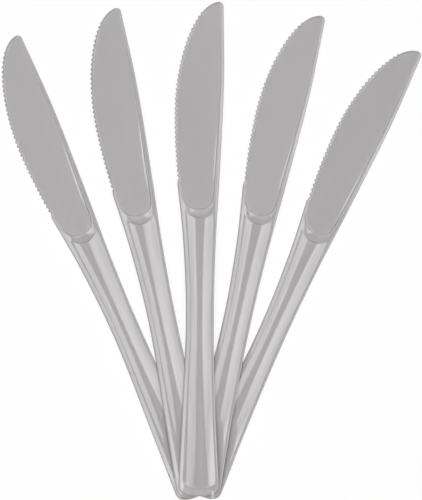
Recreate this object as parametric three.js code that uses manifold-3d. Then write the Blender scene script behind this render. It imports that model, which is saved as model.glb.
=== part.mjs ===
// A fan of five disposable plastic knives, lying on top of one another at their butt ends.
// Each knife is moulded in one piece: a toothed blade with a flat recessed panel, a raised spine,
// and a handle with a shallow trough between two rims.

import * as THREE from 'three';
import { mergeVertices } from 'three/addons/utils/BufferGeometryUtils.js';
import Module from 'manifold-3d';

const wasm = await Module();
wasm.setup();

// Driving dimensions in millimetres. A knife is drawn flat, with the middle of its butt end at the
// origin, its tip towards +Y, its cutting side towards -X and its underside at z = 0.
// The blade runs from the tip to the heel, where the teeth end, and the handle from there to the butt.
const knifeLength = 190;
const bladeLength = 68.5;
const waistFromButt = 70;

// Distances from the knife's middle line to its outline, on the cutting side and on the spine side
const buttCutReach = 8.1;
const gripCutReach = 6.65;
const waistCutReach = 5.2;
const neckCutReach = 6.4;
const heelCutReach = 8.65;
const bellyCutReach = 9.42;

const buttSpineReach = 7.3;
const gripSpineReach = 6.0;
const waistSpineReach = 5.45;
const neckSpineReach = 6.3;
const heelSpineReach = 7.6;
const bladeSpineReach = 9.4;
const tipSpineReach = 9.25;

// Rounded ends of the outline
const buttCrown = 0.6;
const buttCornerRadius = 3;
const buttCornerLength = 4;
const tipCornerRadius = 2;
const noseLength = 8.9;
const noseDrop = 0.95;

// Teeth, which start a small step inside the heel and stop short of the tip
const toothPitch = 1.85;
const toothDepth = 0.65;
const plainNose = 6;
const heelStep = 0.55;

// Heights above the underside, with the slopes at the edges
const bladeThickness = 1.4;
const edgeThickness = 0.9;
const edgeBevelWidth = 0.85;
const rimHeight = 2.4;
const tipRimHeight = 1.5;
const rimChamfer = 0.45;
const troughDepth = 1.2;

// The raised rims, the panel and the trough, seen from above
const cutRimWidth = 2;
const spineRimWidth = 0.85;
const spineRimAtNeck = 2.1;
const panelBelowHeel = 11.2;
const bridgeWidth = 3.4;
const troughHornRise = 2.9;
const troughCornerRise = 2;
const troughEndWall = 2.7;
const troughButtRamp = 2.5;
const troughBridgeRamp = 1.2;

// The fan: the angle between neighbours in degrees, and the air left where one knife rests on another
const fanStep = 12;
const restingClearance = 0.3;

// Where the outline's in-between points lie, as shares of the stretch between their neighbours
const gripShare = 0.44;
const neckShare = 0.58;
const bellyShare = 0.36;
const spineBendShare = 0.56;
const bellyRiseShare = 0.505;
const panelRoundShare = 0.84;

// Places along the knife, measured from its butt end
const heelFromButt = knifeLength - bladeLength;
const buttShoulder = buttCrown + buttCornerLength;
const gripFromButt = THREE.MathUtils.lerp(buttShoulder, waistFromButt, gripShare);
const neckFromButt = THREE.MathUtils.lerp(waistFromButt, heelFromButt, neckShare);
const bellyFromButt = THREE.MathUtils.lerp(heelFromButt, knifeLength, bellyShare);
const spineBendFromButt = THREE.MathUtils.lerp(heelFromButt, knifeLength, spineBendShare);
const tipShoulder = knifeLength - tipCornerRadius;
const panelEnd = heelFromButt - panelBelowHeel;
const troughEnd = panelEnd - bridgeWidth;

// How finely the outlines are drawn
const sideStep = 7;
const contactStep = 1;
const curveSteps = 6;
const troughColumns = 8;
const troughRows = 18;
const troughPastRims = 0.1;

// How far the solids that only cut reach past the knife
const cutPast = 5;
const clearAbove = rimHeight + cutPast;
const clearAcross = 2 * (bellyCutReach + bladeSpineReach);

// Distances that count as nothing, where points are merged and where a knife touches what it lies on
const samePoint = 1e-5;
const touching = 1e-6;

// A smooth line through [distance from butt, reach] pairs, as a function of the distance
function sideLine(pairs) {
  const distances = pairs.map((pair) => pair[0]);
  const reaches = pairs.map((pair) => pair[1]);
  const curve = new THREE.CubicInterpolant(distances, reaches, 1);
  return (distance) => curve.evaluate(distance)[0];
}

const cutReach = sideLine([
  [buttShoulder, buttCutReach],
  [gripFromButt, gripCutReach],
  [waistFromButt, waistCutReach],
  [neckFromButt, neckCutReach],
  [heelFromButt, heelCutReach],
]);

const spineReach = sideLine([
  [buttShoulder, buttSpineReach],
  [gripFromButt, gripSpineReach],
  [waistFromButt, waistSpineReach],
  [neckFromButt, neckSpineReach],
  [heelFromButt, heelSpineReach],
  [spineBendFromButt, bladeSpineReach],
  [tipShoulder, tipSpineReach],
]);

// Evenly spaced distances from one place to another, both included
function distancesBetween(from, to, step) {
  const count = Math.max(1, Math.ceil(Math.abs(to - from) / step));
  return Array.from({ length: count + 1 }, (_, i) => from + ((to - from) * i) / count);
}

// The cutting edge from the heel over the belly to the tip, without its teeth
function cuttingEdge() {
  const heel = new THREE.Vector2(heelStep - heelCutReach, heelFromButt);
  const belly = new THREE.Vector2(-bellyCutReach, bellyFromButt);
  const tip = new THREE.Vector2(tipSpineReach - tipCornerRadius, knifeLength);
  const edge = new THREE.Path();
  edge.moveTo(heel.x, heel.y);
  edge.quadraticCurveTo(belly.x, (heel.y + belly.y) / 2, belly.x, belly.y);
  const rise = (tip.y - belly.y) * bellyRiseShare;
  edge.bezierCurveTo(belly.x, belly.y + rise, tip.x - noseLength, tip.y - noseDrop, tip.x, tip.y);
  return edge;
}

// Points along the cutting edge: a point and a hollow for each tooth, then the plain nose
function toothedEdge() {
  const edge = cuttingEdge();
  const edgeLength = edge.getLength();
  const toothedShare = (edgeLength - plainNose) / edgeLength;
  const halfTeeth = 2 * Math.round((edgeLength - plainNose) / toothPitch);
  const points = [];
  for (let i = 0; i <= halfTeeth; i += 1) {
    const share = (toothedShare * i) / halfTeeth;
    const along = edge.getTangentAt(share);
    const outward = new THREE.Vector2(-along.y, along.x);
    const push = i % 2 === 0 ? -toothDepth / 2 : toothDepth / 2;
    points.push(edge.getPointAt(share).addScaledVector(outward, push));
  }
  for (let i = 1; i <= curveSteps; i += 1) {
    points.push(edge.getPointAt(toothedShare + ((1 - toothedShare) * i) / curveSteps));
  }
  return points;
}

// The butt end: a crowned edge between two rounded corners that run smoothly into it
function buttEnd() {
  const spineCorner = buttSpineReach - buttCornerRadius;
  const cutCorner = buttCutReach - buttCornerRadius;
  const spineBend = buttCrown * ((2 * buttSpineReach) / spineCorner - 1);
  const cutBend = buttCrown * ((2 * buttCutReach) / cutCorner - 1);
  const end = new THREE.Path();
  end.moveTo(buttSpineReach, buttShoulder);
  end.quadraticCurveTo(buttSpineReach, spineBend, spineCorner, buttCrown);
  end.quadraticCurveTo(0, -buttCrown, -cutCorner, buttCrown);
  end.quadraticCurveTo(-buttCutReach, cutBend, -buttCutReach, buttShoulder);
  return end.getPoints(curveSteps);
}

// The whole outline, gathered clockwise from the butt end up the cutting side, and then turned round
function knifeOutline(step) {
  const handleSide = distancesBetween(buttShoulder, heelFromButt - heelStep, step).slice(1);
  const spineSide = distancesBetween(tipShoulder, buttShoulder, step).slice(0, -1);
  const tip = new THREE.QuadraticBezierCurve(
    new THREE.Vector2(tipSpineReach - tipCornerRadius, knifeLength),
    new THREE.Vector2(tipSpineReach, knifeLength),
    new THREE.Vector2(tipSpineReach, tipShoulder),
  );
  const clockwise = [
    ...handleSide.map((distance) => new THREE.Vector2(-cutReach(distance), distance)),
    ...toothedEdge(),
    ...tip.getPoints(curveSteps).slice(1, -1),
    ...spineSide.map((distance) => new THREE.Vector2(spineReach(distance), distance)),
    ...buttEnd(),
  ];
  return clockwise.reverse();
}

// A three.js geometry as a solid that can be joined and cut
function solid(geometry) {
  const bare = geometry.clone();
  bare.deleteAttribute('normal');
  bare.deleteAttribute('uv');
  const merged = mergeVertices(bare, samePoint);
  const vertProperties = new Float32Array(merged.attributes.position.array);
  const triVerts = new Uint32Array(merged.index.array);
  return new wasm.Manifold(new wasm.Mesh({ numProp: 3, vertProperties, triVerts }));
}

// An outline raised to a height, with its upper edge sloped back; the slope below z = 0 is cut later
function raised(outline, height, slopeWidth, slopeHeight) {
  const geometry = new THREE.ExtrudeGeometry(new THREE.Shape(outline), {
    depth: height - slopeHeight,
    bevelEnabled: true,
    bevelSegments: 1,
    bevelThickness: slopeHeight,
    bevelSize: slopeWidth,
    bevelOffset: -slopeWidth,
  });
  return solid(geometry);
}

// The side of the spine's rim that faces the panel, which widens from the tip to the neck
function spineRimInside(distance) {
  const share = (knifeLength - distance) / (knifeLength - panelEnd);
  return spineReach(distance) - THREE.MathUtils.lerp(spineRimWidth, spineRimAtNeck, share);
}

// The round end of the panel at the neck, from the spine's rim across to the heel
function panelRound(neckSide) {
  const cutSide = cutRimWidth - cutReach(panelEnd);
  const round = new THREE.Path();
  round.moveTo(spineRimInside(neckSide), neckSide);
  round.quadraticCurveTo(spineRimInside(panelEnd), panelEnd, 0, panelEnd);
  round.quadraticCurveTo(cutSide, panelEnd, cutReach(neckSide) * -panelRoundShare, neckSide);
  round.lineTo(heelStep - heelCutReach, heelFromButt);
  return round.getPoints(curveSteps);
}

// What stands clear over the blade's panel: inside the spine's rim, and past the edge and the tip
function panelSpace() {
  const beyondEdge = bellyCutReach + cutPast;
  const beyondTip = knifeLength + cutPast;
  const neckSide = panelEnd + panelBelowHeel / 2;
  const inside = distancesBetween(tipShoulder, neckSide, sideStep).slice(0, -1);
  const outline = [
    new THREE.Vector2(spineRimInside(tipShoulder), beyondTip),
    ...inside.map((distance) => new THREE.Vector2(spineRimInside(distance), distance)),
    ...panelRound(neckSide),
    new THREE.Vector2(-beyondEdge, heelFromButt),
    new THREE.Vector2(-beyondEdge, beyondTip),
  ];
  const shape = new THREE.Shape(outline.reverse());
  const geometry = new THREE.ExtrudeGeometry(shape, { depth: 2 * clearAbove, bevelEnabled: false });
  geometry.translate(0, 0, -clearAbove);
  return solid(geometry);
}

// The trough of the handle: a box whose underside is bent to a round hollow between the two rims.
// Its ends slope, and the end at the neck bows round the bridge. The hollow is drawn a little past the
// rims' tops, where it comes out of the material.
function troughSpace() {
  const geometry = new THREE.BoxGeometry(2 + troughPastRims, 1, 1, troughColumns, troughRows, 1);
  const position = geometry.attributes.position;
  for (let i = 0; i < position.count; i += 1) {
    const across = position.getX(i);
    const along = (1 - Math.cos(Math.PI * (position.getY(i) + 0.5))) / 2;
    const start = troughEndWall + troughCornerRise * across ** 4;
    const end = troughEnd + troughHornRise * across ** 2;
    const distance = THREE.MathUtils.lerp(start, end, along);
    const widthAt = Math.max(distance, buttShoulder);
    const cutSide = cutRimWidth - cutReach(widthAt);
    const spineSide = spineReach(widthAt) - spineRimWidth;
    const buttRamp = (distance - start) / troughButtRamp;
    const bridgeRamp = (end - distance) / troughBridgeRamp;
    const ramp = Math.min(1, buttRamp, bridgeRamp) * (1 + troughPastRims) - troughPastRims;
    const hollow = troughDepth * Math.min(1 - across ** 2, ramp);
    position.setX(i, THREE.MathUtils.lerp(cutSide, spineSide, (across + 1) / 2));
    position.setY(i, distance);
    position.setZ(i, position.getZ(i) > 0 ? clearAbove : rimHeight - hollow);
  }
  return solid(geometry);
}

// What stands clear above the spine, whose rim gets lower from the heel to the tip
function spineRunOut() {
  const fall = Math.atan2(rimHeight - tipRimHeight, bladeLength);
  const geometry = new THREE.BoxGeometry(clearAcross, 2 * bladeLength, clearAbove);
  geometry.translate(0, bladeLength, clearAbove / 2);
  geometry.rotateX(-fall);
  geometry.translate(0, heelFromButt, rimHeight);
  return solid(geometry);
}

// Everything below the surface that a flat knife lies on
function belowUnderside() {
  const geometry = new THREE.BoxGeometry(clearAcross, 4 * knifeLength, clearAbove);
  geometry.translate(0, 0, -clearAbove / 2);
  return solid(geometry);
}

// One moulded knife
function knifeGeometry() {
  const outline = knifeOutline(sideStep);
  const plate = raised(outline, bladeThickness, edgeBevelWidth, bladeThickness - edgeThickness);
  const rims = raised(outline, rimHeight, rimChamfer, rimChamfer)
    .subtract(panelSpace())
    .subtract(troughSpace())
    .subtract(spineRunOut());
  const mesh = plate.subtract(troughSpace()).add(rims).subtract(belowUnderside()).getMesh();
  const geometry = new THREE.BufferGeometry();
  geometry.setAttribute('position', new THREE.BufferAttribute(mesh.vertProperties, 3));
  geometry.setIndex(new THREE.BufferAttribute(mesh.triVerts, 1));
  geometry.computeVertexNormals();
  return geometry;
}

// The centre of mass of a closed geometry, from the tetrahedra that its triangles make with the origin
function centreOfMass(geometry) {
  const position = geometry.attributes.position;
  const index = geometry.index.array;
  const centre = new THREE.Vector3();
  let sixVolumes = 0;
  for (let i = 0; i < index.length; i += 3) {
    const [a, b, c] = [0, 1, 2].map((k) => new THREE.Vector3().fromBufferAttribute(position, index[i + k]));
    const six = a.dot(new THREE.Vector3().crossVectors(b, c));
    sixVolumes += six;
    centre.addScaledVector(a.add(b).add(c), six / 4);
  }
  return centre.divideScalar(sixVolumes);
}

// A flat point of a knife, turned to the knife's heading
function turned(point, heading) {
  return new THREE.Vector2(point.x, point.y).rotateAround(new THREE.Vector2(), heading);
}

// Whether a point lies inside a closed outline
function isInside(point, outline) {
  let inside = false;
  outline.forEach((a, i) => {
    const b = outline[(i + 1) % outline.length];
    const crosses = a.y > point.y !== b.y > point.y;
    if (crosses && point.x < a.x + ((b.x - a.x) * (point.y - a.y)) / (b.y - a.y)) {
      inside = !inside;
    }
  });
  return inside;
}

// The height of an underside over a point of the floor
function heightAt(underside, point) {
  return underside.lift + underside.slopeX * point.x + underside.slopeY * point.y;
}

// The underside that passes through three points
function undersideThrough([a, b, c]) {
  const normal = new THREE.Triangle(a, b, c).getNormal(new THREE.Vector3());
  const slopeX = -normal.x / normal.z;
  const slopeY = -normal.y / normal.z;
  return { slopeX, slopeY, lift: a.z - slopeX * a.x - slopeY * a.y };
}

// Whether a triangle, seen from above, holds a point
function holds(triangle, point) {
  const [a, b, c] = triangle.map((corner) => new THREE.Vector3(corner.x, corner.y, 0));
  return THREE.Triangle.containsPoint(new THREE.Vector3(point.x, point.y, 0), a, b, c);
}

// A knife comes to rest on three contacts that hold its centre of mass, with no contact above its
// underside. The search starts on three low points far outside, and swaps in the contact that stands
// highest through the underside until none does.
function settle(contacts, centre) {
  const far = 10 * knifeLength;
  let supports = [0, 1, 2].map((k) => {
    const angle = (k * 2 * Math.PI) / 3;
    return new THREE.Vector3(far * Math.cos(angle), far * Math.sin(angle), -far);
  });
  for (;;) {
    const underside = undersideThrough(supports);
    const above = contacts.map((contact) => contact.z - heightAt(underside, contact));
    const highest = above.indexOf(Math.max(...above));
    if (above[highest] < touching) {
      return underside;
    }
    const swaps = [0, 1, 2].map((k) => supports.map((old, i) => (i === k ? contacts[highest] : old)));
    supports = swaps.find((swap) => holds(swap, centre));
  }
}

// Where a knife meets the floor and the rims of the knives under it
function contactsOf(heading, lowerKnives) {
  const outline = knifeOutline(contactStep).map((point) => turned(point, heading));
  const contacts = outline.map((point) => new THREE.Vector3(point.x, point.y, 0));
  lowerKnives.forEach((lower) => {
    const rims = knifeOutline(contactStep).map((point) => turned(point, lower.heading));
    rims
      .filter((point) => isInside(point, outline))
      .forEach((point) => {
        const top = heightAt(lower.underside, point) + rimHeight + restingClearance;
        contacts.push(new THREE.Vector3(point.x, point.y, top));
      });
  });
  return contacts;
}

// The knives from the bottom of the pile to its top, with the number of fan steps that each leans left
const pile = [
  { name: 'knife_far_right', lean: -2 },
  { name: 'knife_far_left', lean: 2 },
  { name: 'knife_right', lean: -1 },
  { name: 'knife_left', lean: 1 },
  { name: 'knife_centre', lean: 0 },
];

const silverPlastic = new THREE.MeshStandardMaterial({ color: 0xaeacac, roughness: 0.3, metalness: 0.1 });

const geometry = knifeGeometry();
const flatCentre = centreOfMass(geometry);
const fan = new THREE.Group();
const laid = [];
pile.forEach(({ name, lean }) => {
  const heading = THREE.MathUtils.degToRad(lean * fanStep);
  const underside = settle(contactsOf(heading, laid), turned(flatCentre, heading));
  laid.push({ heading, underside });

  const forward = new THREE.Vector3(-Math.sin(heading), Math.cos(heading), 0);
  forward.z = underside.slopeX * forward.x + underside.slopeY * forward.y;
  forward.normalize();
  const up = new THREE.Vector3(-underside.slopeX, -underside.slopeY, 1).normalize();
  const right = new THREE.Vector3().crossVectors(forward, up);

  const knife = new THREE.Mesh(geometry, silverPlastic);
  knife.name = name;
  knife.setRotationFromMatrix(new THREE.Matrix4().makeBasis(right, forward, up));
  knife.position.z = underside.lift;
  fan.add(knife);
});

// The pack stands on the middle of the box that bounds it
const bounds = new THREE.Box3().setFromObject(fan, true);
const middle = bounds.getCenter(new THREE.Vector3());
fan.position.set(-middle.x, -middle.y, -bounds.min.z);

const pack = new THREE.Group();
pack.add(fan);

export default pack;
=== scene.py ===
"""A fan of five disposable plastic knives, lying on top of one another at their butt ends.

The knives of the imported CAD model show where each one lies. One detailed knife is modelled flat and
is then laid five times, so that its underside lies on the CAD knife's underside.
"""

import math

import bmesh
import bpy
import numpy as np
from bpy.props import FloatProperty, FloatVectorProperty, PointerProperty
from mathutils import Matrix, Vector
from mathutils.geometry import interpolate_bezier


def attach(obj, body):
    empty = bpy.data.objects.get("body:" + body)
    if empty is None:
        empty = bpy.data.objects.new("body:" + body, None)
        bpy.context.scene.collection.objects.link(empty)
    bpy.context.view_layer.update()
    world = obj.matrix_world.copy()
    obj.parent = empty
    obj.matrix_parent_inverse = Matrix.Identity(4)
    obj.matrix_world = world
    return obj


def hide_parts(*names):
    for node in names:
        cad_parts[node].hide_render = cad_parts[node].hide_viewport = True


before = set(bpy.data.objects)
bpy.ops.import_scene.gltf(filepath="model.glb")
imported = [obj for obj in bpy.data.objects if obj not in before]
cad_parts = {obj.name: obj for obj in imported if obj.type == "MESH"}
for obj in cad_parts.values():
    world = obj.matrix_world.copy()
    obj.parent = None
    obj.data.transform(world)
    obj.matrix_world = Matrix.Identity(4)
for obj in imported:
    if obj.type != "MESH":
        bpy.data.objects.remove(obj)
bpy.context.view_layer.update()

bl_info = {
    "name": "Disposable knife pack",
    "version": (1, 0, 0),
    "blender": (4, 5, 0),
    "location": "3D View > Sidebar > Knife pack",
    "description": "Models a fan of moulded plastic knives around their packed CAD frame",
    "category": "Object",
}

MM = 0.001

# The CAD knives from the bottom of the pile to its top
PILE = ("knife_far_right", "knife_far_left", "knife_right", "knife_left", "knife_centre")

# Names of the knife's own UV map, which is its plan in metres, and of its painted satin share
PLAN_MAP = "knife_plan"
SATIN = "satin"


def length(name, millimetres, description):
    """A size that a user may change, given in millimetres and kept in metres."""
    return FloatProperty(
        name=name, description=description, default=millimetres * MM, min=0.0, unit="LENGTH"
    )


def share(name, default, description):
    """A plain number that a user may change, from nothing to one."""
    return FloatProperty(
        name=name, description=description, default=default, min=0.0, max=1.0, subtype="FACTOR"
    )


def amount(name, default, description):
    """A plain number that a user may change, of any size above nothing."""
    return FloatProperty(name=name, description=description, default=default, min=0.0)


def linear(hex_colour):
    """An sRGB hex colour as linear red, green and blue."""
    parts = [int(hex_colour[i:i + 2], 16) / 255 for i in (1, 3, 5)]
    return tuple(part / 12.92 if part <= 0.04045 else ((part + 0.055) / 1.055) ** 2.4 for part in parts)


def colour(name, hex_colour, description):
    """A colour that a user may change, given as sRGB hex and kept linear."""
    return FloatVectorProperty(
        name=name, description=description, default=linear(hex_colour),
        size=3, min=0.0, max=1.0, subtype="COLOR",
    )


class KnifeSizes(bpy.types.PropertyGroup):
    """Sizes of one knife, drawn flat with the middle of its butt end at the origin.

    Its tip lies towards +Y, its cutting side towards -X and its underside at z = 0.
    """

    knife_length: length("Knife length", 190, "From the butt end to the tip")
    blade_length: length("Blade length", 68.5, "From the heel, where the teeth end, to the tip")
    waist: length("Waist", 70, "From the butt end to the narrowest part of the handle")

    butt_cut: length("Butt, cutting side", 8.1, "From the middle line to the outline at the butt end")
    grip_cut: length("Grip, cutting side", 6.65, "From the middle line to the outline in the grip")
    waist_cut: length("Waist, cutting side", 5.2, "From the middle line to the outline at the waist")
    neck_cut: length("Neck, cutting side", 6.4, "From the middle line to the outline at the neck")
    heel_cut: length("Heel, cutting side", 8.65, "From the middle line to the outline at the heel")
    belly_cut: length("Belly", 9.42, "From the middle line to the cutting edge at its furthest")

    butt_spine: length("Butt, spine side", 7.3, "From the middle line to the outline at the butt end")
    grip_spine: length("Grip, spine side", 6.0, "From the middle line to the outline in the grip")
    waist_spine: length("Waist, spine side", 5.45, "From the middle line to the outline at the waist")
    neck_spine: length("Neck, spine side", 6.3, "From the middle line to the outline at the neck")
    heel_spine: length("Heel, spine side", 7.6, "From the middle line to the spine at the heel")
    blade_spine: length("Blade, spine side", 9.4, "From the middle line to the spine at its furthest")
    tip_spine: length("Tip, spine side", 9.25, "From the middle line to the spine at the tip")

    butt_crown: length("Butt crown", 0.6, "How far the butt end bows out between its corners")
    butt_corner: length("Butt corner width", 3, "How far its round corners reach in from the sides")
    butt_corner_length: length("Butt corner length", 4, "How far its round corners reach up the sides")
    tip_corner: length("Tip corner", 2, "How far the tip's rounded corner reaches along the spine")
    nose_length: length("Nose length", 8.9, "How far back the cutting edge starts to turn to the tip")
    nose_drop: length("Nose drop", 0.95, "How far below the tip the cutting edge starts to turn")

    tooth_pitch: length("Tooth pitch", 1.85, "From one tooth to the next")
    tooth_depth: length("Tooth depth", 0.65, "From a tooth's point to the bottom of the hollow beside it")
    tooth_groove: length("Tooth groove", 0.07, "Depth of the groove between two teeth in the sloped edge")
    plain_nose: length("Plain nose", 6, "Length of the cutting edge at the tip that has no teeth")
    heel_step: length("Heel step", 0.55, "How far the teeth stand back from the handle's side")

    blade_thickness: length("Blade thickness", 1.4, "Height of the flat panel above the underside")
    edge_thickness: length("Edge thickness", 0.9, "Height of the cutting edge above the underside")
    edge_bevel: length("Edge bevel", 0.85, "Width of the slope along the cutting edge")
    rim_height: length("Rim height", 2.4, "Height of the spine's crest above the underside")
    tip_rim_height: length("Rim height at the tip", 1.5, "Height of the spine's rim where it runs out")
    cut_rim_drop: length("Rim drop, cutting side", 0.35, "How far this crest lies below the spine's")
    cut_rim_fall: length("Rim fall, cutting side", 0.55, "Fall of the rim from its crest to the outline")
    spine_rim_fall: length("Rim fall, spine side", 0.14, "Fall of the rim from its crest to the outline")
    butt_rim_fall: length("Rim fall, butt end", 0.5, "Fall of the rim from its crest to the butt end")
    trough_depth: length("Trough depth", 1.2, "Depth of the handle's trough below the spine's rim")
    butt_trough_depth: length("Trough depth at the butt", 1.0, "Depth below the spine's rim at the butt")
    butt_dip: length("Butt dip", 0.35, "How far the middle of the butt's rim lies below its ends")
    bridge_dip: length("Bridge dip", 0.45, "How far the middle of the bridge lies below the rims")
    bridge_fall: length("Bridge fall", 0.55, "Fall of the bridge from the trough to the panel's wall")
    edge_round: length("Edge round", 0.3, "Radius of the moulding's outer edges")
    grip_round: length("Grip round", 0.6, "Radius of the outer edge on the handle's cutting side and butt")
    blade_round: length("Blade round", 0.15, "Radius of the cutting edge's upper corner")
    crest_round: length("Crest round", 0.2, "How deeply the crests of the rims are rounded")
    cut_crest_round: length("Crest round, cutting side", 0.42, "How deeply this crest is rounded")
    bridge_round: length("Bridge round", 0.4, "How softly the bridge turns into the panel's wall")
    bevel_round: length("Bevel round", 0.1, "How deeply the top of the sloped edge is rounded")
    foot_round: length("Foot round", 0.07, "How widely the foot of a wall is rounded")
    foot_slope: length("Foot slope", 0.6, "Width of the low slope at the foot of the spine's wall")

    cut_rim: length("Rim width, cutting side", 2.0, "From the outline to the rim's crest on the handle")
    spine_rim: length("Rim width, spine side", 1.05, "From the outline to the rim's crest on the handle")
    spine_rim_neck: length("Rim width at the neck", 2.1, "From the spine to the panel's wall at the neck")
    butt_rim: length("Rim width, butt end", 1.8, "From the butt end to the rim's crest")
    panel_below_heel: length("Panel below heel", 11.2, "From the heel to the panel's round end")
    bridge_width: length("Bridge width", 3.4, "From the panel's round end to the end of the trough")
    horn_rise: length("Horn rise", 2.9, "How far the trough reaches up past the bridge at its sides")
    bridge_slope: length("Bridge slope", 0.7, "Length over which the trough's floor rises to the bridge")
    butt_slope: length("Butt slope", 4.8, "Length over which the trough's floor rises to the butt's rim")


class KnifeFinish(bpy.types.PropertyGroup):
    """Colours and gloss of the moulded plastic."""

    silver: colour("Silver", "#A7A5A5", "Colour of the plastic between the streaks of pigment")
    pale_silver: colour("Pale silver", "#B8B6B6", "Colour of the plastic in the streaks of pigment")
    handle_roughness: share("Handle roughness", 0.1, "Roughness of the polished rims and handle")
    panel_roughness: share("Panel roughness", 0.13, "Roughness of the satin panel of the blade")
    flake: share("Flake", 0.2, "Share of metal flakes in the streaks of pigment")
    streak_width: length("Streak width", 2.5, "Width of the pale streaks along the flow of the plastic")
    streak_length: length("Streak length", 45, "Length of the pale streaks along the flow of the plastic")
    ripple: length("Ripple", 4.5, "Distance between the faint ripples of the moulded surface")
    grain: length("Grain", 0.45, "Distance between the grains of the satin panel")


class StageSettings(bpy.types.PropertyGroup):
    """Floor and lights."""

    floor: colour("Floor", "#FCFCFC", "Colour of the floor")
    softbox_strength: amount("Softbox strength", 0.1, "Brightness of the softboxes")
    card_strength: amount("Card strength", 2.2, "Brightness of the cards, which only reflections show")
    overhead_strength: amount("Overhead strength", 18.4, "Brightness of the lamp above the pack")
    fill_strength: amount("Fill strength", 0.14, "Brightness of the room around the lamps")
    floor_glow: share("Floor glow", 0.85, "How much of the floor's white doesn't depend on the light")


# Where the outline's in-between points lie, as shares of the stretch between their neighbours
GRIP_SHARE = 0.44
NECK_SHARE = 0.58
BELLY_SHARE = 0.36
SPINE_BEND_SHARE = 0.56

# How far the belly's curve is pulled towards the tip, as a share of the way there, and how far out the
# panel's round end starts on the cutting side, as a share of the way to the outline
BELLY_RISE_SHARE = 0.505
PANEL_ROUND_SHARE = 0.84

# How far the lowest line of the trough lies to the spine's side, at the butt, grip, waist and neck, in mm
VALLEY_OFFSETS = (1.0, -0.6, -0.75, -1.05)

# How finely the knife is drawn: points on a curve, steps along the sides, and points that count as one
CURVE_STEPS = 24
SIDE_STEP = 2 * MM
SAME_POINT = 1e-7

# Columns across a border, as shares of its width, the most of a row that both borders may take, and
# columns between them
BORDER_SHARES = (
    0, 0.03, 0.08, 0.15, 0.24, 0.36, 0.5, 0.63, 0.74, 0.84, 0.92, 0.97,
    1, 1.03, 1.1, 1.2, 1.34, 1.52, 1.75,
)
BORDERS_LIMIT = 0.7
MIDDLE_COLUMNS = 26

# Rows on each stretch from the butt end to the tip, and how far before the tip the sides of the last row
# stop, as a share of the tip's corner
CORNER_ROWS = 36
BUTT_ROWS = 26
HANDLE_ROWS = 80
NECK_ROWS = 130
BLADE_ROWS = 210
NOSE_ROWS = 90
LAST_ROW_SHARE = 1 / 3

# The two steps that round the underside's edge: how far in and down each goes, as shares of the radius
UNDERSIDE_STEPS = ((0.3, 0.7), (0.7, 0.3))

# The mean height of a tooth's rounded outline, as a share of its depth
MEAN_TOOTH = 2 / math.pi

# How steeply the walls of the panel stand, and the low slope at the foot of the spine's wall
WALL_STEEPNESS = 1.8
FOOT_SLOPE = 0.35

# How far past its crests the trough's hollow is followed, the slope that its sides come to as a multiple of
# their mean slope, and how steep the wall at its butt end is
TROUGH_LIMIT = 1.15
SIDE_STEEPNESS = 2.0
END_STEEPNESS = 0.8

# How the bridge rises from its middle to its ends, as a power of the squared way across
BRIDGE_POWER = 1.5

# A knife's underside is the faces whose downward share is at least this
UNDERSIDE_FACES_DOWN = 0.9

# The plastic's refractive index, and the heights of its ripples and of the panel's grain
POLYSTYRENE_IOR = 1.59
RIPPLE_HEIGHT = 0.012 * MM
GRAIN_HEIGHT = 0.006 * MM

# The part of the streaks' noise over which the plastic goes from no flakes to the most, and where the
# noise is cut to get the streaks
STREAK_RANGE = (0.25, 0.75)
STREAK_SLICE = 0.7

# The floor and the lamps in metres. A card hangs just below each softbox, the right one starting a little
# further out than its softbox, and one hangs off either end of the knives. Only reflections show the cards.
FLOOR_HALF = 3.0
LAMP_HEIGHT = 1.0
SOFTBOX_SIDES = (0.28, 1.38)
SOFTBOX_ENDS = (-0.7, 1.1)
CARD_BELOW = 0.01
CARD_SHIFT = 0.02
END_CARD_HALF = 0.25
END_CARD_REACH = (0.24, 0.85)
OVERHEAD_HALF = 0.38
OVERHEAD_HEIGHT = 2.0

# How bright the other cards are beside the right one
LEFT_CARD_SHARE = 1.1
TIP_CARD_SHARE = 0.5
BUTT_CARD_SHARE = 0.4

# The angle above the floor up to which the room's walls show white
WALL_TOP = math.radians(20)

# The camera looks straight down from far above, so that the knives' sides stay hidden: its sensor in
# millimetres, and in metres its height, the length that the picture's longer side shows, and the middle
SENSOR = 36.0
CAMERA_HEIGHT = 6.5
VIEW_LENGTH = 0.19198
VIEW_CENTRE = (-0.00011, 0.00034)


def sizes(context):
    """The knife's sizes as plain numbers, with the places along the knife that follow from them."""
    group = context.scene.knife_sizes
    size = {name: getattr(group, name) for name in KnifeSizes.__annotations__}
    heel = size["knife_length"] - size["blade_length"]
    shoulder = size["butt_crown"] + size["butt_corner_length"]
    size["heel"] = heel
    size["shoulder"] = shoulder
    size["grip"] = shoulder + GRIP_SHARE * (size["waist"] - shoulder)
    size["neck"] = size["waist"] + NECK_SHARE * (heel - size["waist"])
    size["belly"] = heel + BELLY_SHARE * size["blade_length"]
    size["spine_bend"] = heel + SPINE_BEND_SHARE * size["blade_length"]
    size["tip_shoulder"] = size["knife_length"] - size["tip_corner"]
    size["panel_end"] = heel - size["panel_below_heel"]
    size["trough_end"] = size["panel_end"] - size["bridge_width"]
    return size


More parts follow.
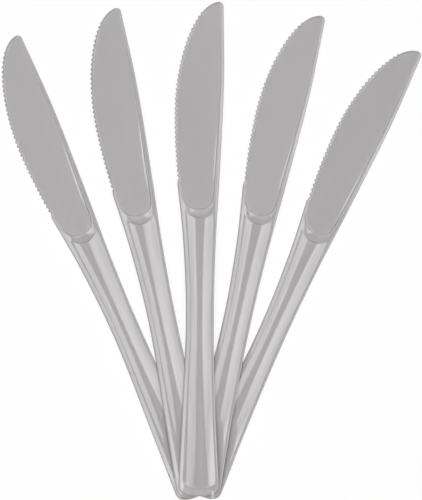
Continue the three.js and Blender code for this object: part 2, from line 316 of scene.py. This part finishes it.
def smooth_line(distances, reaches):
    """A smooth line through places along the knife, as a function of the distance from the butt."""
    distances = np.array(distances)
    reaches = np.array(reaches)
    slopes = np.diff(reaches) / np.diff(distances)
    tangents = np.concatenate(([slopes[0]], (slopes[1:] + slopes[:-1]) / 2, [slopes[-1]]))

    def reach(distance):
        distance = np.clip(distance, distances[0], distances[-1])
        i = np.clip(np.searchsorted(distances, distance, side="right") - 1, 0, len(slopes) - 1)
        span = distances[i + 1] - distances[i]
        t = (distance - distances[i]) / span
        start = (1 + 2 * t) * (1 - t) ** 2 * reaches[i] + t * (1 - t) ** 2 * span * tangents[i]
        end = t ** 2 * (3 - 2 * t) * reaches[i + 1] + t ** 2 * (t - 1) * span * tangents[i + 1]
        return start + end

    return reach


def curve(start, start_handle, end_handle, end):
    """Points along a curve from its ends and the two handles that pull it."""
    corners = [Vector((x, y, 0)) for x, y in (start, start_handle, end_handle, end)]
    return [tuple(point.xy) for point in interpolate_bezier(*corners, CURVE_STEPS)]


def bend(start, pull, end):
    """Points along a curve that one point pulls."""
    third = 2 / 3
    start_handle = [a + third * (b - a) for a, b in zip(start, pull)]
    end_handle = [a + third * (b - a) for a, b in zip(end, pull)]
    return curve(start, start_handle, end_handle, end)


def join(*parts):
    """One line from parts that follow one another, without the points where they meet twice."""
    points = np.array([point for part in parts for point in part])
    kept = np.concatenate(([True], np.hypot(*np.diff(points, axis=0).T) > SAME_POINT))
    return points[kept]


def lengths_along(line):
    """How far along a line each of its points is."""
    return np.concatenate(([0], np.cumsum(np.hypot(*np.diff(line, axis=0).T))))


def point_along(line, distance):
    """The points at given distances along a line."""
    along = lengths_along(line)
    return np.stack([np.interp(distance, along, line[:, axis]) for axis in (0, 1)], axis=-1)


def nearest(points, line):
    """For each point, how far the line is, and how far along the line its nearest place lies."""
    along = lengths_along(line)
    gap = np.full(len(points), np.inf)
    place = np.zeros(len(points))
    for i in range(len(line) - 1):
        step = line[i + 1] - line[i]
        offset = points - line[i]
        t = np.clip(offset @ step / (step @ step), 0, 1)
        distance = np.hypot(*(offset - t[:, None] * step).T)
        closer = distance < gap
        gap[closer] = distance[closer]
        place[closer] = along[i] + t[closer] * (along[i + 1] - along[i])
    return gap, place


def ease(value):
    """A smooth step from nothing to one."""
    value = np.clip(value, 0, 1)
    return value * value * (3 - 2 * value)


def lowest(surfaces, blend):
    """The lowest of several surfaces, with a round where two of them meet."""
    low = surfaces[0]
    for other in surfaces[1:]:
        mix = np.clip(0.5 + 0.5 * (other - low) / blend, 0, 1)
        low = other + mix * (low - other) - blend * mix * (1 - mix)
    return low


def highest(surfaces, blend):
    """The highest of several surfaces, with a round where two of them meet."""
    return -lowest([-surface for surface in surfaces], blend)


def outer_slope(crest, steepness, gap, width, radius):
    """A slope that rises from the rounded outline to a crest, which lies a width inside it."""
    inside = np.clip(radius - gap, 0, radius)
    rounded_off = radius - np.sqrt(radius ** 2 - inside ** 2)
    return crest + steepness * (gap - width) - rounded_off


def risen(distance, radius):
    """A distance that starts to count at nothing, with a round where it starts."""
    return np.where(distance > radius, distance, np.maximum(distance + radius, 0) ** 2 / (4 * radius))


class KnifePlan:
    """The lines of one knife as seen from above."""

    def __init__(self, size):
        self.size = size
        self.cut_reach = smooth_line(
            [size["shoulder"], size["grip"], size["waist"], size["neck"], size["heel"]],
            [size["butt_cut"], size["grip_cut"], size["waist_cut"], size["neck_cut"], size["heel_cut"]],
        )
        self.spine_reach = smooth_line(
            [size["shoulder"], size["grip"], size["waist"], size["neck"], size["heel"], size["spine_bend"],
             size["tip_shoulder"]],
            [size["butt_spine"], size["grip_spine"], size["waist_spine"], size["neck_spine"],
             size["heel_spine"], size["blade_spine"], size["tip_spine"]],
        )
        self.valley = smooth_line(
            [size["shoulder"], size["grip"], size["waist"], size["neck"]],
            [offset * MM for offset in VALLEY_OFFSETS],
        )
        self.tip = (size["tip_spine"] - size["tip_corner"], size["knife_length"])
        self.butt_end = self.make_butt_end()
        self.handle_side = self.make_handle_side()
        self.edge = self.make_edge()
        self.cut_side = join(self.handle_side, self.edge)
        self.heel_place = lengths_along(self.handle_side)[-1]
        self.spine_side = self.make_spine_side()
        self.panel_round = self.make_panel_round()

    def corner_bend(self, side):
        """The height at which a butt corner's curve leaves the side, so that it runs into the crown."""
        size = self.size
        return size["butt_crown"] * (2 * side / (side - size["butt_corner"]) - 1)

    def make_butt_end(self):
        """The crowned end between the two rounded corners, from the cutting side to the spine side."""
        size = self.size
        crown = size["butt_crown"]
        cut = (size["butt_corner"] - size["butt_cut"], crown)
        spine = (size["butt_spine"] - size["butt_corner"], crown)
        return join(bend(cut, (0, -crown), spine))

    def make_handle_side(self):
        """The cutting side of the handle, from the butt end round its corner and up to the heel."""
        size = self.size
        side = size["butt_cut"]
        corner = bend(
            (size["butt_corner"] - side, size["butt_crown"]),
            (-side, self.corner_bend(side)),
            (-side, size["shoulder"]),
        )
        distances = np.arange(size["shoulder"], size["heel"] - size["heel_step"], SIDE_STEP)
        return join(corner, [(-self.cut_reach(d), d) for d in distances])

    def make_edge(self):
        """The cutting edge from the heel over the belly to the tip, without its teeth."""
        size = self.size
        heel = (size["heel_step"] - size["heel_cut"], size["heel"])
        belly = (-size["belly_cut"], size["belly"])
        rise = BELLY_RISE_SHARE * (size["knife_length"] - size["belly"])
        nose = (self.tip[0] - size["nose_length"], self.tip[1] - size["nose_drop"])
        return join(
            bend(heel, (belly[0], (heel[1] + belly[1]) / 2), belly),
            curve(belly, (belly[0], belly[1] + rise), nose, self.tip),
        )

    def make_spine_side(self):
        """The spine side, from the butt end round its corner, up the spine and round to the tip."""
        size = self.size
        side = size["butt_spine"]
        corner = bend(
            (side - size["butt_corner"], size["butt_crown"]),
            (side, self.corner_bend(side)),
            (side, size["shoulder"]),
        )
        distances = np.arange(size["shoulder"], size["tip_shoulder"], SIDE_STEP)
        tip_spine = size["tip_spine"]
        tip = bend((tip_spine, size["tip_shoulder"]), (tip_spine, size["knife_length"]), self.tip)
        return join(corner, [(self.spine_reach(d), d) for d in distances], tip)

    def spine_rim_width(self, distance):
        """Width of the spine's rim, which is widest beside the panel's round end."""
        size = self.size
        to_tip = (size["knife_length"] - distance) / (size["knife_length"] - size["panel_end"])
        on_handle = (distance - size["trough_end"] + size["bridge_width"]) / (2 * size["bridge_width"])
        widening = np.clip(to_tip, 0, 1) * ease(on_handle)
        return size["spine_rim"] + (size["spine_rim_neck"] - size["spine_rim"]) * widening

    def make_panel_round(self):
        """The round end of the panel at the neck, from the heel across to the spine's rim."""
        size = self.size
        end = size["panel_end"]
        side = end + size["panel_below_heel"] / 2
        cut_pull = size["cut_rim"] - self.cut_reach(end)
        cut_start = -PANEL_ROUND_SHARE * self.cut_reach(side)
        spine_start = self.spine_reach(side) - size["spine_rim_neck"]
        spine_pull = self.spine_reach(end) - size["spine_rim_neck"]
        return join(
            [(size["heel_step"] - size["heel_cut"], size["heel"])],
            bend((cut_start, side), (cut_pull, end), (0, end)),
            bend((0, end), (spine_pull, end), (spine_start, side)),
        )


def row_ends(plan):
    """Where each row of the grid starts on the cutting side and ends on the spine side."""
    size = plan.size
    sides = (plan.cut_side, plan.spine_side)
    stretches = (
        (size["shoulder"], CORNER_ROWS),
        (size["shoulder"] + 2 * size["butt_slope"], BUTT_ROWS),
        (size["trough_end"] - 2 * size["bridge_slope"], HANDLE_ROWS),
        (size["heel"] + size["edge_bevel"], NECK_ROWS),
        (size["knife_length"] - 2 * size["nose_length"], BLADE_ROWS),
    )
    ends = []
    for side in sides:
        along = lengths_along(side)
        places = [np.zeros(1)]
        for distance, rows in stretches:
            stop = np.interp(distance, side[:, 1], along)
            places.append(np.linspace(places[-1][-1], stop, rows + 1)[1:])
        stop = along[-1] - LAST_ROW_SHARE * size["tip_corner"]
        places.append(np.linspace(places[-1][-1], stop, NOSE_ROWS + 1)[1:])
        ends.append(point_along(side, np.concatenate(places)))
    return ends


def grid_points(plan):
    """Plan points of the knife's upper surface, row by row from the butt end to the tip."""
    size = plan.size
    cut, spine = row_ends(plan)
    width = np.hypot(*(spine - cut).T)
    heel_share = ease((cut[:, 1] - size["heel"]) / size["edge_bevel"] + 1)
    cut_border = size["cut_rim"] + heel_share * (size["edge_bevel"] - size["cut_rim"])
    spine_border = plan.spine_rim_width(spine[:, 1])
    room = BORDER_SHARES[-1] * (cut_border + spine_border)
    squeeze = np.minimum(1, BORDERS_LIMIT * width / room)[:, None]
    shares = np.array(BORDER_SHARES)
    from_cut = squeeze * cut_border[:, None] * shares
    from_spine = width[:, None] - squeeze * spine_border[:, None] * shares[::-1]
    between = np.linspace(0, 1, MIDDLE_COLUMNS + 2)[1:-1]
    middle = from_cut[:, -1:] + (from_spine[:, :1] - from_cut[:, -1:]) * between
    across = np.concatenate((from_cut, middle, from_spine), axis=1) / width[:, None]
    points = cut[:, None, :] + across[:, :, None] * (spine - cut)[:, None, :]

    # The rows bow out at the butt end and at the tip, and are straight between them
    bow = 1 - (2 * across - 1) ** 2
    middles = (cut[:, 1] + spine[:, 1]) / 2
    butt_fade = 1 - ease((middles - middles[0]) / (2 * size["butt_corner_length"]))
    tip_fade = ease((middles - middles[-1]) / size["tip_corner"] + 1)
    tip_rise = plan.tip[1] - middles[-1]
    points[:, :, 1] += bow * (tip_rise * tip_fade - size["butt_crown"] * butt_fade)[:, None]
    return points


def across_trough(plan, x, y):
    """Where points lie across the trough, and how high its crests are there.

    The place is -1 on the cutting side's crest, 0 in the valley and 1 on the spine side's crest.
    """
    size = plan.size
    valley = plan.valley(y)
    left = valley - size["cut_rim"] + plan.cut_reach(y)
    right = plan.spine_reach(y) - size["spine_rim"] - valley
    sideways = (x - valley) / np.where(x < valley, left, right)
    cut_height = size["rim_height"] - size["cut_rim_drop"]
    return sideways, cut_height + size["cut_rim_drop"] * ease((1 + sideways) / 2)


def trough_height(size, y, butt_gap, sideways, crest):
    """The trough between the crests, with a low wall that rounds it off at the butt."""
    # The hollow goes from nothing in the valley to one at the crests, as a hyperbola
    across = np.minimum(np.abs(sideways), TROUGH_LIMIT)
    bottom = (SIDE_STEEPNESS ** 2 - 1) / 2
    hollow = np.sqrt(bottom ** 2 + (SIDE_STEEPNESS * across) ** 2) - bottom
    deepening = ease(y / size["waist"]) * (size["trough_depth"] - size["butt_trough_depth"])
    floor = size["rim_height"] - size["butt_trough_depth"] - deepening

    # The end wall lies below the hollow except near the butt
    to_butt = np.clip(1 - (butt_gap - size["butt_rim"]) / size["butt_slope"], 0, TROUGH_LIMIT)
    past_end = (np.hypot(across, to_butt) - 1) * size["butt_slope"]
    sunk = size["trough_depth"] * (1 - ease(2 * to_butt))
    end_wall = crest + END_STEEPNESS * past_end - sunk
    return highest([floor + (crest - floor) * hollow, end_wall], size["foot_round"])


def bridge_heights(plan, x, y):
    """How far the trough's floor has risen towards the bridge, and the height of the bridge itself."""
    size = plan.size
    cut_crest = plan.cut_reach(y) - size["cut_rim"]
    spine_crest = plan.spine_reach(y) - size["spine_rim"]
    outward = np.minimum((x / np.where(x < 0, cut_crest, spine_crest)) ** 2, 1)
    start = size["trough_end"] + size["horn_rise"] * outward - size["bridge_slope"] / 2
    ramp = size["trough_depth"] * risen(y - start, size["foot_round"]) / size["bridge_slope"]
    past_ridge = np.clip((y - start - size["bridge_slope"]) / size["bridge_width"], 0, 1)
    past_bridge = ease((y - size["trough_end"]) / size["panel_below_heel"])
    below_rims = (size["bridge_dip"] + size["bridge_fall"] * past_ridge ** 2) * (1 - past_bridge)
    return ramp, size["rim_height"] - below_rims * (1 - outward ** BRIDGE_POWER)


def panel_height(plan, points, to_tip):
    """The panel with the walls round it, and how far outside of its edge the points lie.

    A steep wall stands round the bridge and along the spine's rim, where a low slope leads to it.
    """
    size = plan.size
    x, y = points.T
    round_gap, _ = nearest(points, plan.panel_round)
    round_height = np.interp(x, plan.panel_round[:, 0], plan.panel_round[:, 1])
    below_round = np.where(y < round_height, round_gap, -round_gap)
    past_rim = x - (plan.spine_reach(y) - plan.spine_rim_width(y))
    outside = np.maximum(below_round, past_rim)
    slope_share = ease((y - size["heel"]) / size["panel_below_heel"] + 0.5) * (1 - ease(2 * to_tip))
    low_slope = FOOT_SLOPE * slope_share * risen(past_rim + size["foot_slope"], size["foot_round"])
    wall = WALL_STEEPNESS * risen(outside, size["foot_round"])
    return size["blade_thickness"] + low_slope + wall, outside


def teeth(plan, cut_gap, cut_place):
    """How deep the grooves between the teeth are, and where the teeth push the outline.

    Both fade out up the slope of the cutting edge.
    """
    size = plan.size
    edge_place = cut_place - plan.heel_place
    toothed_length = lengths_along(plan.edge)[-1] - size["plain_nose"]
    count = np.round(toothed_length / size["tooth_pitch"])
    phase = np.clip(edge_place / toothed_length, 0, 1) * count
    has_teeth = (edge_place > 0) & (edge_place < toothed_length)
    fade = np.where(has_teeth, np.clip(1 - cut_gap / size["edge_bevel"], 0, 1), 0)
    tooth = np.abs(np.sin(np.pi * phase))
    ahead = point_along(plan.cut_side, cut_place + size["tooth_depth"] / 2)
    behind = point_along(plan.cut_side, cut_place - size["tooth_depth"] / 2)
    direction = ahead - behind
    direction = direction / np.hypot(*direction.T)[:, None]
    outward = np.stack((-direction[:, 1], direction[:, 0]), axis=1)
    push = outward * (size["tooth_depth"] * (tooth - MEAN_TOOTH) * fade)[:, None]
    return size["tooth_groove"] * fade * (1 - tooth), push


def relief(plan, points):
    """Heights of the upper surface over plan points, how satin it is there, and where the teeth push it."""
    size = plan.size
    x, y = points.T
    cut_gap, cut_place = nearest(points, plan.cut_side)
    spine_gap, _ = nearest(points, plan.spine_side)
    butt_gap, _ = nearest(points, plan.butt_end)
    sideways, crest = across_trough(plan, x, y)
    to_tip = np.clip((y - size["heel"]) / size["blade_length"], 0, 1)

    # The outer slopes of the rims
    rim_height = size["rim_height"]
    spine_height = rim_height + to_tip * (size["tip_rim_height"] - rim_height)
    butt_height = crest - size["butt_dip"] * (1 - np.minimum(sideways ** 2, 1))
    cut_slope = outer_slope(
        rim_height - size["cut_rim_drop"], size["cut_rim_fall"] / size["cut_rim"],
        cut_gap, size["cut_rim"], size["grip_round"],
    )
    spine_slope = outer_slope(
        spine_height, size["spine_rim_fall"] / size["spine_rim"],
        spine_gap, plan.spine_rim_width(y), size["edge_round"],
    )
    butt_slope = outer_slope(
        butt_height, size["butt_rim_fall"] / size["butt_rim"],
        butt_gap, size["butt_rim"], size["grip_round"],
    )

    # The sloped edge of the blade
    bevel_rise = size["blade_thickness"] - size["edge_thickness"]
    bevel = outer_slope(
        size["blade_thickness"], bevel_rise / size["edge_bevel"],
        cut_gap, size["edge_bevel"], size["blade_round"],
    )

    # The lowest of all surfaces is the upper surface, on the handle and on the blade
    ramp, bridge = bridge_heights(plan, x, y)
    trough = trough_height(size, y, butt_gap, sideways, crest) + ramp
    panel, outside = panel_height(plan, points, to_tip)
    bridge = lowest([bridge, panel], size["bridge_round"])
    crests = lowest([spine_slope, butt_slope, trough, bridge], size["crest_round"])
    handle = lowest([crests, cut_slope], size["cut_crest_round"])
    blade = lowest([crests, bevel], size["bevel_round"])
    on_blade = ease((cut_place - plan.heel_place) / size["edge_bevel"] + 0.5)
    groove, push = teeth(plan, cut_gap, cut_place)
    height = handle + on_blade * (blade - handle) - groove

    satin = ease(-outside / (2 * size["foot_round"])) * ease(cut_gap / size["edge_bevel"] * 2 - 1)
    return height, satin, push


def flat_knife(size):
    """A bmesh of one knife lying flat: a bent grid for the upper surface, then sides and underside."""
    plan = KnifePlan(size)
    points = grid_points(plan)
    rows, columns = points.shape[:2]
    flat = points.reshape(-1, 2)
    height, satin, push = relief(plan, flat)
    flat = flat + push

    knife = bmesh.new()
    bmesh.ops.create_grid(knife, x_segments=columns - 1, y_segments=rows - 1, size=0.5)
    satin_layer = knife.verts.layers.float.new(SATIN)
    for vert in knife.verts:
        column = round((vert.co.x + 0.5) * (columns - 1))
        row = round((vert.co.y + 0.5) * (rows - 1))
        i = row * columns + column
        vert.co = (*flat[i], height[i])
        vert[satin_layer] = satin[i]

    # The sides go straight down to a small round at the underside
    radius = size["edge_round"]
    rim = [edge for edge in knife.edges if edge.is_boundary]
    lower = bmesh.ops.extrude_edge_only(knife, edges=rim)["geom"]
    for vert in (item for item in lower if isinstance(item, bmesh.types.BMVert)):
        vert.co.z = radius
    lower_rim = [item for item in lower if isinstance(item, bmesh.types.BMEdge)]
    underside = bmesh.ops.contextual_create(knife, geom=lower_rim)["faces"]
    bmesh.ops.recalc_face_normals(knife, faces=knife.faces)
    for inset, drop in UNDERSIDE_STEPS:
        bmesh.ops.inset_region(
            knife, faces=underside, thickness=inset * radius, depth=drop * radius, use_even_offset=True
        )
    for face in knife.faces:
        face.smooth = True
    underside[0].smooth = False

    plan_map = knife.loops.layers.uv.new(PLAN_MAP)
    for face in knife.faces:
        for loop in face.loops:
            loop[plan_map].uv = loop.vert.co.xy

    # The extruded faces come in no fixed order, so all faces are put in one
    by_place = sorted(knife.faces, key=lambda face: tuple(face.calc_center_median()))
    for i, face in enumerate(by_place):
        face.index = i
    knife.faces.sort()
    return knife


def lie_of(mesh):
    """A frame at the middle of a knife's flat underside: its long way as Y and its upward way as Z."""
    mesh.calc_loop_triangles()
    places = np.array([vertex.co for vertex in mesh.vertices])
    corners = places[np.array([tuple(triangle.vertices) for triangle in mesh.loop_triangles])]
    doubled = np.cross(corners[:, 1] - corners[:, 0], corners[:, 2] - corners[:, 0])
    area = np.linalg.norm(doubled, axis=1)
    below = doubled[:, 2] < -UNDERSIDE_FACES_DOWN * area
    corners, doubled, area = corners[below], doubled[below], area[below]
    middle = (area[:, None] * corners.mean(axis=1)).sum(axis=0) / area.sum()
    up = -doubled.sum(axis=0)

    # The long way is the one in which the underside's area spreads furthest
    offsets = corners - middle
    sums = offsets.sum(axis=1)
    spread = np.einsum("t,tvi,tvj->ij", area, offsets, offsets) + np.einsum("t,ti,tj->ij", area, sums, sums)
    forward = np.linalg.eigh(spread)[1][:, -1]

    z_axis = Vector(up).normalized()
    y_axis = Vector(forward * np.sign(forward[1]))
    y_axis = (y_axis - y_axis.project(z_axis)).normalized()
    x_axis = y_axis.cross(z_axis)
    turn = Matrix((x_axis, y_axis, z_axis)).transposed().to_4x4()
    return Matrix.Translation(middle) @ turn


def add(tree, kind, links=None, **settings):
    """Adds a node, sets its properties and its input values, and links its inputs from other sockets."""
    node = tree.nodes.new(kind)
    for name, value in settings.items():
        if name in node.bl_rna.properties:
            setattr(node, name, value)
        else:
            node.inputs[name.replace("_", " ")].default_value = value
    for name, socket in (links or {}).items():
        tree.links.new(socket, node.inputs[name])
    return node


def silver_polystyrene(finish):
    """Silver-pigmented polystyrene, injection moulded in a polished tool with a satin panel.

    The eye sees an even mid grey. The polished rims and the handle show the lights as broad clear bands.
    The flakes of pigment have gathered in streaks along the flow, and make the bands brighter there. The
    blade's panel has a fine grain, and looks flat.
    """
    material = bpy.data.materials.new("silver_polystyrene")
    material.use_nodes = True
    tree = material.node_tree
    tree.nodes.clear()
    plan = add(tree, "ShaderNodeUVMap", uv_map=PLAN_MAP)
    satin = add(tree, "ShaderNodeAttribute", attribute_name=SATIN)

    # Streaks of pigment, long along the flow and narrow across it, with more flakes where they are pale
    stretch = (1 / finish.streak_width, 1 / finish.streak_length, 1)
    along_flow = add(
        tree, "ShaderNodeMapping", {"Vector": plan.outputs["UV"]},
        Scale=stretch, Location=(0, 0, STREAK_SLICE),
    )
    streaks = add(
        tree, "ShaderNodeTexNoise", {"Vector": along_flow.outputs["Vector"]}, Scale=1.0, Detail=3.0
    )
    low, high = STREAK_RANGE
    gathered = add(
        tree, "ShaderNodeMapRange", {"Value": streaks.outputs["Fac"]}, From_Min=low, From_Max=high
    )
    tint = add(tree, "ShaderNodeMix", {"Factor": gathered.outputs["Result"]}, data_type="RGBA")
    tint.inputs["A"].default_value = (*finish.silver, 1)
    tint.inputs["B"].default_value = (*finish.pale_silver, 1)
    flakes = add(tree, "ShaderNodeMapRange", {"Value": gathered.outputs["Result"]}, To_Max=finish.flake)

    # Polished handle and satin panel
    gloss = add(
        tree, "ShaderNodeMapRange", {"Value": satin.outputs["Fac"]},
        To_Min=finish.handle_roughness, To_Max=finish.panel_roughness,
    )

    # Faint ripples of the cooled surface everywhere, and the grain of the satin panel, which is drawn
    # coarser than a real one because that would be too fine to show
    ripples = add(
        tree, "ShaderNodeTexNoise", {"Vector": plan.outputs["UV"]}, Scale=1 / finish.ripple, Detail=1.0
    )
    rippled = add(
        tree, "ShaderNodeBump", {"Height": ripples.outputs["Fac"]}, Strength=1.0, Distance=RIPPLE_HEIGHT
    )
    grains = add(
        tree, "ShaderNodeTexNoise", {"Vector": plan.outputs["UV"]}, Scale=1 / finish.grain, Detail=2.0
    )
    grainy = add(
        tree, "ShaderNodeBump",
        {
            "Height": grains.outputs["Fac"],
            "Strength": satin.outputs["Fac"],
            "Normal": rippled.outputs["Normal"],
        },
        Distance=GRAIN_HEIGHT,
    )
    surface = add(
        tree, "ShaderNodeBsdfPrincipled",
        {
            "Base Color": tint.outputs["Result"],
            "Metallic": flakes.outputs["Result"],
            "Roughness": gloss.outputs["Result"],
            "Normal": grainy.outputs["Normal"],
        },
        IOR=POLYSTYRENE_IOR,
    )
    add(tree, "ShaderNodeOutputMaterial", {"Surface": surface.outputs["BSDF"]})
    return material


class KNIFEPACK_OT_knives(bpy.types.Operator):
    """Model one moulded knife and lay it where each knife of the CAD model lies"""

    bl_idname = "knifepack.knives"
    bl_label = "Lay the knives"

    def execute(self, context):
        knife = flat_knife(sizes(context))
        flat = bpy.data.meshes.new("flat_knife")
        knife.to_mesh(flat)
        knife.free()
        flat.materials.append(silver_polystyrene(context.scene.knife_finish))
        from_flat = lie_of(flat).inverted()
        for name in PILE:
            mesh = flat.copy()
            mesh.name = f"moulded_{name}"
            mesh.transform(lie_of(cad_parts[name].data) @ from_flat)
            piece = bpy.data.objects.new(f"moulded_{name}", mesh)
            context.scene.collection.objects.link(piece)
            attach(piece, "root")
            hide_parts(name)
        bpy.data.meshes.remove(flat)
        return {"FINISHED"}


def seen_directly(tree):
    """A socket that is one where the camera sees a surface, also reflected or through something clear."""
    path = add(tree, "ShaderNodeLightPath")
    seen = add(
        tree, "ShaderNodeMath", {0: path.outputs["Is Camera Ray"], 1: path.outputs["Is Glossy Ray"]}
    )
    seen_at_all = add(
        tree, "ShaderNodeMath", {0: seen.outputs[0], 1: path.outputs["Is Transmission Ray"]}, use_clamp=True
    )
    return seen_at_all.outputs[0]


def floor_paint(settings):
    """Matt white paint, part of whose white is its own so that the knives' shadows stay faint."""
    material = bpy.data.materials.new("matt_floor_paint")
    material.use_nodes = True
    tree = material.node_tree
    tree.nodes.clear()
    glow = add(tree, "ShaderNodeMath", {0: seen_directly(tree)}, operation="MULTIPLY")
    glow.inputs[1].default_value = settings.floor_glow
    paint = add(tree, "ShaderNodeBsdfDiffuse")
    paint.inputs["Color"].default_value = (*settings.floor, 1)
    white = add(tree, "ShaderNodeEmission", Strength=1.0)
    mixed = add(
        tree, "ShaderNodeMixShader",
        {0: glow.outputs[0], 1: paint.outputs["BSDF"], 2: white.outputs["Emission"]},
    )
    add(tree, "ShaderNodeOutputMaterial", {"Surface": mixed.outputs["Shader"]})
    return material


def lamps(settings):
    """The lamps: name, reach across, reach along, height, brightness, and whether reflections show it.

    A lamp that reflections show doesn't light anything, and the others do.
    """
    inner, outer = SOFTBOX_SIDES
    near, far = END_CARD_REACH
    left = (-outer, -inner)
    right = (inner, outer)
    right_card = (inner + CARD_SHIFT, outer)
    end = (-END_CARD_HALF, END_CARD_HALF)
    above = (-OVERHEAD_HALF, OVERHEAD_HALF)
    card_height = LAMP_HEIGHT - CARD_BELOW
    soft = settings.softbox_strength
    card = settings.card_strength
    return (
        ("softbox_left", left, SOFTBOX_ENDS, LAMP_HEIGHT, soft, False),
        ("softbox_right", right, SOFTBOX_ENDS, LAMP_HEIGHT, soft, False),
        ("card_left", left, SOFTBOX_ENDS, card_height, LEFT_CARD_SHARE * card, True),
        ("card_right", right_card, SOFTBOX_ENDS, card_height, card, True),
        ("card_tip", end, (near, far), LAMP_HEIGHT, TIP_CARD_SHARE * card, True),
        ("card_butt", end, (-far, -near), LAMP_HEIGHT, BUTT_CARD_SHARE * card, True),
        ("overhead", above, above, OVERHEAD_HEIGHT, settings.overhead_strength, False),
    )


def studio_room(settings):
    """The room round the stage: a dim one, whose lower walls are white to the camera and in reflections."""
    world = bpy.data.worlds.new("studio")
    world.use_nodes = True
    tree = world.node_tree
    tree.nodes.clear()
    white = (1, 1, 1, 1)
    place = add(tree, "ShaderNodeTexCoord")
    height = add(tree, "ShaderNodeSeparateXYZ", {"Vector": place.outputs["Generated"]})
    on_wall = add(tree, "ShaderNodeMath", {0: height.outputs["Z"]}, operation="LESS_THAN")
    on_wall.inputs[1].default_value = math.sin(WALL_TOP)
    shown = add(
        tree, "ShaderNodeMath", {0: seen_directly(tree), 1: on_wall.outputs[0]}, operation="MULTIPLY"
    )
    dim = add(tree, "ShaderNodeBackground", Color=white, Strength=settings.fill_strength)
    wall = add(tree, "ShaderNodeBackground", Color=white, Strength=1.0)
    room = add(
        tree, "ShaderNodeMixShader",
        {0: shown.outputs[0], 1: dim.outputs["Background"], 2: wall.outputs["Background"]},
    )
    add(tree, "ShaderNodeOutputWorld", {"Surface": room.outputs["Shader"]})
    return world


class KNIFEPACK_OT_stage(bpy.types.Operator):
    """Set up the floor, the lamps, the room and the camera that looks straight down"""

    bl_idname = "knifepack.stage"
    bl_label = "Set the stage"

    def execute(self, context):
        scene = context.scene
        settings = scene.knife_stage
        scene.view_settings.view_transform = "Standard"

        floor_mesh = bpy.data.meshes.new("floor")
        floor = bmesh.new()
        bmesh.ops.create_grid(floor, x_segments=1, y_segments=1, size=FLOOR_HALF)
        floor.to_mesh(floor_mesh)
        floor.free()
        floor_mesh.materials.append(floor_paint(settings))
        floor_piece = bpy.data.objects.new("floor", floor_mesh)
        scene.collection.objects.link(floor_piece)

        for name, (left, right), (near, far), height, brightness, reflected in lamps(settings):
            lamp = bpy.data.lights.new(name, "AREA")
            lamp.shape = "RECTANGLE"
            lamp.size = right - left
            lamp.size_y = far - near
            lamp.energy = brightness * math.pi * lamp.size * lamp.size_y
            panel = bpy.data.objects.new(name, lamp)
            panel.location = ((left + right) / 2, (near + far) / 2, height)
            panel.visible_glossy = reflected
            panel.visible_diffuse = not reflected
            scene.collection.objects.link(panel)

        scene.world = studio_room(settings)

        camera = bpy.data.cameras.new("camera")
        camera.sensor_width = SENSOR
        camera.lens = SENSOR * CAMERA_HEIGHT / VIEW_LENGTH
        camera.clip_end = 2 * CAMERA_HEIGHT
        eye = bpy.data.objects.new("camera", camera)
        eye.location = (*VIEW_CENTRE, CAMERA_HEIGHT)
        scene.collection.objects.link(eye)
        scene.camera = eye
        return {"FINISHED"}


class KNIFEPACK_PT_panel(bpy.types.Panel):
    """Sizes, colours and steps of the knife pack"""

    bl_idname = "KNIFEPACK_PT_panel"
    bl_label = "Knife pack"
    bl_space_type = "VIEW_3D"
    bl_region_type = "UI"
    bl_category = "Knife pack"

    def draw(self, context):
        for group in (context.scene.knife_sizes, context.scene.knife_finish, context.scene.knife_stage):
            box = self.layout.box()
            for name in group.__annotations__:
                box.prop(group, name)
        self.layout.operator("knifepack.knives")
        self.layout.operator("knifepack.stage")


CLASSES = (
    KnifeSizes,
    KnifeFinish,
    StageSettings,
    KNIFEPACK_OT_knives,
    KNIFEPACK_OT_stage,
    KNIFEPACK_PT_panel,
)


def register():
    for cls in CLASSES:
        bpy.utils.register_class(cls)
    bpy.types.Scene.knife_sizes = PointerProperty(type=KnifeSizes)
    bpy.types.Scene.knife_finish = PointerProperty(type=KnifeFinish)
    bpy.types.Scene.knife_stage = PointerProperty(type=StageSettings)


def unregister():
    del bpy.types.Scene.knife_sizes
    del bpy.types.Scene.knife_finish
    del bpy.types.Scene.knife_stage
    for cls in reversed(CLASSES):
        bpy.utils.unregister_class(cls)


def main():
    register()
    bpy.ops.knifepack.knives()
    bpy.ops.knifepack.stage()


if __name__ == "__main__":
    main()
